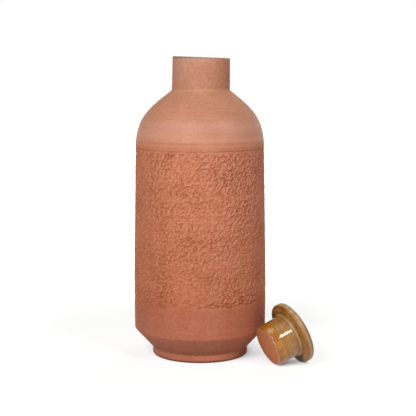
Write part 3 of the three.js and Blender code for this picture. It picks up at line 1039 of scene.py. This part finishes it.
def glaze(points):
    """Amber iron glaze over the clay: glossy, darker where it pools, pale where it breaks over an edge, with
    painted shade and highlight in places.
    """
    tones = glaze_stops(points)
    outline_length = courses(points)[-1]
    material, tree = new_material("amber_iron_glaze")
    own = add(tree, "ShaderNodeAttribute", attribute_name="own_place")["Vector"]
    course = add(tree, "ShaderNodeAttribute", attribute_name="course")["Fac"]
    past_edge = add(tree, "ShaderNodeAttribute", attribute_name="past_edge")["Fac"]
    run = add(tree, "ShaderNodeValToRGB", {"Fac": course}, stops=tones)["Color"]
    noises = []
    for size, detail in ((GLAZE_CLOUD, 3.0), (GLAZE_WAVE, 1.0), (GLAZE_BEAD_SIZE, 2.0), (GLAZE_SPECK, 2.0)):
        noises.append(add(tree, "ShaderNodeTexNoise", {
            "Vector": own, "Scale": 1 / (size * MM), "Detail": detail,
        })["Fac"])
    cloud, wave, bead_noise, speck = noises
    x, y, _ = add(tree, "ShaderNodeSeparateXYZ", (own,))
    ring_place = add(tree, "ShaderNodeCombineXYZ", (course, x, y))[0]
    round_scale = 1 / (GLAZE_RING_LENGTH * MM)
    stretched = add(tree, "ShaderNodeMapping", {
        "Vector": ring_place, "Scale": (outline_length / GLAZE_RING, round_scale, round_scale),
    })[0]
    ring = add(tree, "ShaderNodeTexNoise", {"Vector": stretched, "Scale": 1.0, "Detail": 2.0})["Fac"]
    depth = add(tree, "ShaderNodeValToRGB", {"Fac": cloud}, stops=GLAZE_DEPTHS)["Color"]
    body = add(tree, "ShaderNodeMix", {
        "Factor": GLAZE_DEPTH_SHARE, "A": run, "B": depth,
    }, data_type="RGBA")["Result"]
    body = pooled_and_painted(tree, body, own, cloud)
    body = shaded(tree, body, GLAZE_PALENESS, (
        (ring, *FINE, *GLAZE_RING_SHADES, 1.0),
        (speck, *FINE, *GLAZE_SPECK_SHADES, 1.0),
    ))
    at_edge = add(tree, "ShaderNodeMapRange", {
        "Value": past_edge, "From Min": GLAZE_BEAD_WIDTH, "From Max": GLAZE_BEAD_WIDTH / 2,
    }, interpolation_type="SMOOTHSTEP")[0]
    thick = add(tree, "ShaderNodeMapRange", {
        "Value": bead_noise, "From Min": GLAZE_BEAD_PATCHES[0], "From Max": GLAZE_BEAD_PATCHES[1],
    }, interpolation_type="SMOOTHSTEP")[0]
    bead = add(tree, "ShaderNodeMath", (at_edge, thick), operation="MULTIPLY")[0]
    colour = add(tree, "ShaderNodeMix", {
        "Factor": bead, "A": body, "B": linear(GLAZE_BEAD),
    }, data_type="RGBA")["Result"]
    rough = add(tree, "ShaderNodeMapRange", {
        "Value": course, "From Min": tones[COLLAR_TONE][0], "From Max": tones[COLLAR_TONE + 1][0],
        "To Min": GLOSS, "To Max": SATIN,
    })[0]
    bump = add(tree, "ShaderNodeBump", {
        "Height": wave, "Distance": GLAZE_WAVE_RELIEF * MM, "Strength": 1.0,
    })[0]
    shader = add(tree, "ShaderNodeBsdfPrincipled", {
        "Base Color": colour, "Roughness": rough, "IOR": GLAZE_IOR, "Normal": bump,
    })[0]
    add(tree, "ShaderNodeOutputMaterial", {"Surface": shader})
    return material


def bare_clay():
    """The wiped end of the plug, which stood on the kiln shelf: bare matt terracotta, with painted light and
    shade across it.
    """
    material, tree = new_material("bare_clay")
    own = add(tree, "ShaderNodeAttribute", attribute_name="own_place")["Vector"]
    cloud = add(tree, "ShaderNodeTexNoise", {
        "Vector": own, "Scale": 1 / (BARE_CLOUD * MM), "Detail": 4.0,
    })["Fac"]
    body = add(tree, "ShaderNodeValToRGB", {"Fac": cloud}, stops=BARE_TONES)["Color"]
    across = add(tree, "ShaderNodeSeparateXYZ", (own,))[0]
    out = add(tree, "ShaderNodeVectorMath", (own,), operation="LENGTH")["Value"]
    reach = PLUG_END_RADIUS * MM
    # painted light and shade: lighter to the right and at the right rim, darker to the left and at the left
    # rim
    changes = [(across, -reach, reach, *BARE_PAINTED_SIDES, 1.0)]
    for side, start, full, change in BARE_PAINTED_RIMS:
        shown = add(tree, "ShaderNodeMapRange", {"Value": across, "From Max": side * reach})[0]
        changes.append((out, start * reach, full * reach, 0.0, change, shown))
    colour = shaded(tree, body, CLAY_PALENESS, changes)
    grain = add(tree, "ShaderNodeTexNoise", {
        "Vector": own, "Scale": 1 / (GRAIN_SIZE * MM), "Detail": 3.0,
    })["Fac"]
    bump = add(tree, "ShaderNodeBump", {"Height": grain, "Distance": GRAIN_RELIEF * MM, "Strength": 1.0})[0]
    shader = add(tree, "ShaderNodeBsdfPrincipled", {
        "Base Color": colour, "Roughness": BARE_ROUGHNESS, "Specular IOR Level": CLAY_SPECULAR,
        "Normal": bump,
    })[0]
    add(tree, "ShaderNodeOutputMaterial", {"Surface": shader})
    return material


# The bottle

def settle(places):
    """Gives the turned form what the hand left: throwing rings, a neck that leans and a rim that slopes."""
    x, y, z = (places[:, axis] / MM for axis in range(3))
    radius = np.hypot(x, y)
    on_shoulder = smoothstep(SHOULDER_HEIGHT, SHOULDER_HEIGHT + 2 * THROW_PITCH, z)
    on_shoulder *= 1 - smoothstep(BOTTLE_HEIGHT - 2 * THROW_PITCH, BOTTLE_HEIGHT - THROW_PITCH, z)
    drift = np.sin(z * 2 * math.pi / (THROW_DRIFT * THROW_PITCH))
    ripple = np.sin(z * 2 * math.pi / THROW_PITCH + drift + np.arctan2(y, x))
    grow = 1 + THROW_DEPTH * ripple * on_shoulder / np.maximum(radius, BORE_RADIUS)
    x, y = x * grow, y * grow
    x += NECK_LEAN * smoothstep(SHOULDER_HEIGHT, BOTTLE_HEIGHT, z)
    z = z - RIM_SLOPE * x * smoothstep(NECK_ROOT_HEIGHT, BOTTLE_HEIGHT, z)
    return np.stack([x, y, z], axis=1) * MM


def bottle(material):
    below = refined(underside(), FLAT_SPACING) + refined(outside_below_band(), WALL_SPACING)[1:]
    band = outside_band()
    above = refined(outside_above_band(), WALL_SPACING)
    inside = refined(inside_surface(), INSIDE_SPACING)
    rings = [(0, 0, 1)]
    rings += [(*point, COARSE_COLUMNS) for point in below[1:]]
    first_fine = len(rings)
    rings += [(*point, FINE_COLUMNS) for point in band]
    after_fine = len(rings)
    rings += [(*point, COARSE_COLUMNS) for point in above]
    rings += [(*point, INSIDE_COLUMNS) for point in inside[:-1]]
    rings.append((*inside[-1], 1))
    mesh = turned_mesh("tooled_bottle", rings)
    outside = []
    for index, ring in enumerate(rings):
        outside += [float(first_fine <= index < after_fine)] * ring[2]
    point_values(mesh, "outside", outside)
    piece = add_object("tooled_bottle", mesh)
    apply_tree(piece, tool_mark_tree(material), MARK_SIZES)
    set_coordinates(piece.data, settle(coordinates(piece.data)))
    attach(piece, "bottle")
    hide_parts("bottle")
    return piece


# The stopper

def stopper_outline():
    collar = PLUG_LENGTH - COLLAR_LENGTH
    return refined(outline([
        (0, 0),
        (PLUG_END_RADIUS, 0, PLUG_EDGE_ROUND),
        (PLUG_ROOT_RADIUS, collar - COLLAR_FLARE, ROOT_FILLET),
        (COLLAR_RADIUS, collar, COLLAR_ROUND),
        (COLLAR_RADIUS, PLUG_LENGTH, ROOT_FILLET),
        (FLANGE_RADIUS, PLUG_LENGTH, FLANGE_UNDER_ROUND),
        (FLANGE_RADIUS, STOPPER_LENGTH, FLANGE_TOP_ROUND),
        (0, STOPPER_LENGTH),
    ]), STOPPER_SPACING)


def stopper_tilt():
    """It tilts until the round of the plug's edge and the round of the flange both touch the table."""
    run = PLUG_LENGTH + FLANGE_UNDER_ROUND - PLUG_EDGE_ROUND
    rise = FLANGE_RADIUS - FLANGE_UNDER_ROUND - (PLUG_END_RADIUS - PLUG_EDGE_ROUND)
    return math.atan2(rise, run) + math.asin((FLANGE_UNDER_ROUND - PLUG_EDGE_ROUND) / math.hypot(run, rise))


def stopper_place():
    """The matrix that lays a stopper made about Z on the table, where the solid model has it."""
    tilt = stopper_tilt()
    across = STOPPER_HEADING - PLUG_END_BEARING
    reach = PLUG_END_RADIUS * math.hypot(math.sin(across), math.cos(across) * math.sin(tilt))
    distance = BELLY_RADIUS + STOPPER_GAP + reach
    edge_centre = PLUG_END_RADIUS - PLUG_EDGE_ROUND
    height = PLUG_EDGE_ROUND - PLUG_EDGE_ROUND * math.sin(tilt) + edge_centre * math.cos(tilt)
    at = Vector((distance * math.cos(PLUG_END_BEARING), distance * math.sin(PLUG_END_BEARING), height)) * MM
    turned = Matrix.Rotation(STOPPER_HEADING - math.pi / 2, 4, "Z")
    tilted = Matrix.Rotation(tilt - math.pi / 2, 4, "X")
    return Matrix.Translation(at) @ turned @ tilted


def courses(points):
    """How far each point of an outline lies from its start, measured along it."""
    lengths = [0.0]
    for start, end in zip(points, points[1:]):
        lengths.append(lengths[-1] + (end - start).length)
    return lengths


def glaze_stops(points):
    """The glaze's tones as stops along the outline."""
    lengths = courses(points)
    stops = []
    for place, colour in GLAZE_TONES:
        nearest = min(range(len(points)), key=lambda index: (points[index] - Vector(place)).length)
        stops.append((lengths[nearest] / lengths[-1], colour))
    return stops


def glaze_edge(angle):
    """Where the glaze starts on the round of the plug's end, as a course: an uneven wiped line."""
    edge = GLAZE_EDGE
    for layer, (closeness, far) in enumerate(GLAZE_EDGE_WANDERS):
        edge += far * noise.noise(Vector((math.cos(angle), math.sin(angle), layer)) * closeness)
    return edge


def wipe_end(mesh, course, edges):
    """Sets the bare end back by the glaze's thickness, and draws the plug in a little towards its end."""
    places = coordinates(mesh)
    bare = 1 - smoothstep(edges - GLAZE_ROLL, edges + GLAZE_ROLL, course)
    normals = np.empty(len(places) * 3)
    mesh.vertices.foreach_get("normal", normals)
    places = places - normals.reshape(-1, 3) * (bare * GLAZE_THICKNESS * MM)[:, None]
    along = places[:, 2:] / MM
    places[:, :2] *= 1 - END_DRAW / PLUG_END_RADIUS * np.clip(1 - along / END_DRAW_LENGTH, 0, 1) ** 2
    set_coordinates(mesh, places)


def stopper():
    points = stopper_outline()
    lengths = courses(points)
    rings = [(*point, STOPPER_COLUMNS) for point in points[1:-1]]
    rings = [(*points[0], 1), *rings, (*points[-1], 1)]
    mesh = turned_mesh("glazed_stopper", rings)
    course = []
    for ring, length in zip(rings, lengths):
        course += [length] * ring[2]
    places = coordinates(mesh)
    edges = [glaze_edge(math.atan2(y, x)) for x, y, _ in places]
    own = mesh.attributes.new("own_place", "FLOAT_VECTOR", "POINT")
    own.data.foreach_set("vector", places.ravel().astype(np.float32))
    course, edges = np.array(course), np.array(edges)
    point_values(mesh, "course", course / lengths[-1])
    angles = np.degrees(np.arctan2(-places[:, 1], places[:, 0]))
    low, high = GLAZE_BEAD_ANGLES
    beaded = smoothstep(low - GLAZE_BEAD_FADE, low, angles)
    beaded *= 1 - smoothstep(high, high + GLAZE_BEAD_FADE, angles)
    point_values(mesh, "past_edge", course - edges + 2 * GLAZE_BEAD_WIDTH * (1 - beaded))
    wipe_end(mesh, course, edges)
    mesh.materials.append(glaze(points))
    mesh.materials.append(bare_clay())
    vertex_bare = course < edges
    for face in mesh.polygons:
        face.material_index = int(all(vertex_bare[vertex] for vertex in face.vertices))
    mesh.transform(stopper_place())
    piece = add_object("glazed_stopper", mesh)
    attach(piece, "stopper")
    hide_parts("stopper")
    return piece


# Camera, floor and lights

CAMERA_LENS = 100.0
CAMERA_PITCH = math.radians(7.5)
CAMERA_DISTANCE = 888.3
CAMERA_HEIGHT = 230.7
AXIS_PIXEL = 199.9      # column of the photograph in which the bottle's axis stands
FRAME_PIXELS = 416
SENSOR = 36.0

# Studio: metres, watts and shares of white
TABLE_SIZE = 6.0
TABLE_GAP = 0.1         # millimetres between the table and what stands on it, so that no faces coincide
TABLE_WHITE = 1.36
SHOWN_WHITE_SHARES = (0.56, 1.0)     # of the plain white that the table shows, close by and further off
SHOWN_WHITE_REACH = (0.15, 0.5)
# Shadows where things stand close to the table: the side that the light comes from, how far off things
# still shade it, how open it is to that side at its darkest and where it is clear, and the white left there
TABLE_SHADOWS = (
    ((-0.25, -0.6, 0.76), 0.012, 0.2, 0.42, 0.0),
    ((-0.25, -0.6, 0.76), 0.03, 0.3, 0.6, 0.7),
    ((-0.8, 0.05, 0.6), 0.014, 0.08, 0.34, 0.3),
)
TABLE_COLOUR = "#E8E8E6"
WHITE = "#FFFFFF"
AMBIENT = 0.12
LAMP_DISTANCE = 1.5
LAMPS = (
    # name, bearing from the camera's side and elevation in degrees, size and watts
    ("key", -22.0, 32.0, 0.45, 14.8),
    ("fill", 36.0, 38.0, 0.31, 5.4),
    ("back", 155.0, 30.0, 0.8, 6.5),
)


def camera():
    lens = bpy.data.cameras.new("camera")
    lens.lens = CAMERA_LENS
    lens.sensor_width = SENSOR
    viewer = bpy.data.objects.new("camera", lens)
    pixels_to_lens = SENSOR / FRAME_PIXELS / CAMERA_LENS
    yaw = math.atan((FRAME_PIXELS / 2 - AXIS_PIXEL) * pixels_to_lens)
    viewer.location = Vector((0, -CAMERA_DISTANCE, CAMERA_HEIGHT)) * MM
    viewer.rotation_euler = Euler((math.pi / 2 - CAMERA_PITCH, 0, -yaw))
    bpy.context.scene.collection.objects.link(viewer)
    bpy.context.scene.camera = viewer


def shown_white(tree):
    """Where the plain white shows: to the camera, in gloss and through glass. What lights things is apart."""
    rays = add(tree, "ShaderNodeLightPath")
    seen = 0.0
    for ray in ("Is Camera Ray", "Is Glossy Ray", "Is Transmission Ray"):
        seen = add(tree, "ShaderNodeMath", (rays[ray], seen), operation="MAXIMUM")[0]
    return seen


def table():
    """A white table: it shows white, keeps soft shadows close under things, and lights what stands on it."""
    material, tree = new_material("white_laminate_table")
    strength = TABLE_WHITE
    for lit_side, reach, closed, clear, least in TABLE_SHADOWS:
        towards = add(tree, "ShaderNodeCombineXYZ", lit_side)[0]
        open_share = add(tree, "ShaderNodeAmbientOcclusion", {"Distance": reach, "Normal": towards})["AO"]
        shade = add(tree, "ShaderNodeMapRange", {
            "Value": open_share, "From Min": closed, "From Max": clear, "To Min": least, "To Max": 1.0,
        })[0]
        strength = add(tree, "ShaderNodeMath", (shade, strength), operation="MULTIPLY")[0]
    white = add(tree, "ShaderNodeEmission", {"Strength": strength})[0]
    matt = add(tree, "ShaderNodeBsdfDiffuse", {"Color": linear(TABLE_COLOUR)})[0]
    place = add(tree, "ShaderNodeTexCoord")["Object"]
    far = add(tree, "ShaderNodeVectorMath", (place,), operation="LENGTH")["Value"]
    plain = add(tree, "ShaderNodeMapRange", {
        "Value": far, "From Min": SHOWN_WHITE_REACH[0], "From Max": SHOWN_WHITE_REACH[1],
        "To Min": SHOWN_WHITE_SHARES[0], "To Max": SHOWN_WHITE_SHARES[1],
    })[0]
    seen = shown_white(tree)
    share = add(tree, "ShaderNodeMath", (seen, plain), operation="MULTIPLY")[0]
    shader = add(tree, "ShaderNodeMixShader", (share, matt, white))[0]
    add(tree, "ShaderNodeOutputMaterial", {"Surface": shader})
    mesh = bpy.data.meshes.new("table")
    half = TABLE_SIZE / 2
    corners = [(-half, -half, 0), (half, -half, 0), (half, half, 0), (-half, half, 0)]
    mesh.from_pydata(corners, [], [(0, 1, 2, 3)])
    mesh.transform(Matrix.Translation((0, 0, -TABLE_GAP * MM)))
    mesh.materials.append(material)
    add_object("table", mesh)


def world():
    sky = bpy.data.worlds.new("studio")
    sky.use_nodes = True
    tree = sky.node_tree
    tree.nodes.clear()
    seen = shown_white(tree)
    fill, white = [add(tree, "ShaderNodeBackground", {
        "Color": linear(WHITE), "Strength": strength,
    })[0] for strength in (AMBIENT, 1.0)]
    shader = add(tree, "ShaderNodeMixShader", (seen, fill, white))[0]
    add(tree, "ShaderNodeOutputWorld", {"Surface": shader})
    bpy.context.scene.world = sky


def softbox(name, bearing, elevation, size, watts):
    """A square softbox aimed at the middle of the bottle, placed by its bearing from the camera's side."""
    lamp = bpy.data.lights.new(name, "AREA")
    lamp.size = size
    lamp.energy = watts
    box = bpy.data.objects.new(name, lamp)
    angle, rise = math.radians(bearing), math.radians(elevation)
    away = Vector((math.sin(angle) * math.cos(rise), -math.cos(angle) * math.cos(rise), math.sin(rise)))
    target = Vector((0, 0, BOTTLE_HEIGHT * MM / 2))
    box.location = target + away * LAMP_DISTANCE
    box.rotation_euler = away.to_track_quat("Z", "Y").to_euler()
    bpy.context.scene.collection.objects.link(box)


camera()
table()
world()
for lamp in LAMPS:
    softbox(*lamp)
bottle(terracotta())
stopper()
bpy.context.scene.view_settings.view_transform = "Standard"
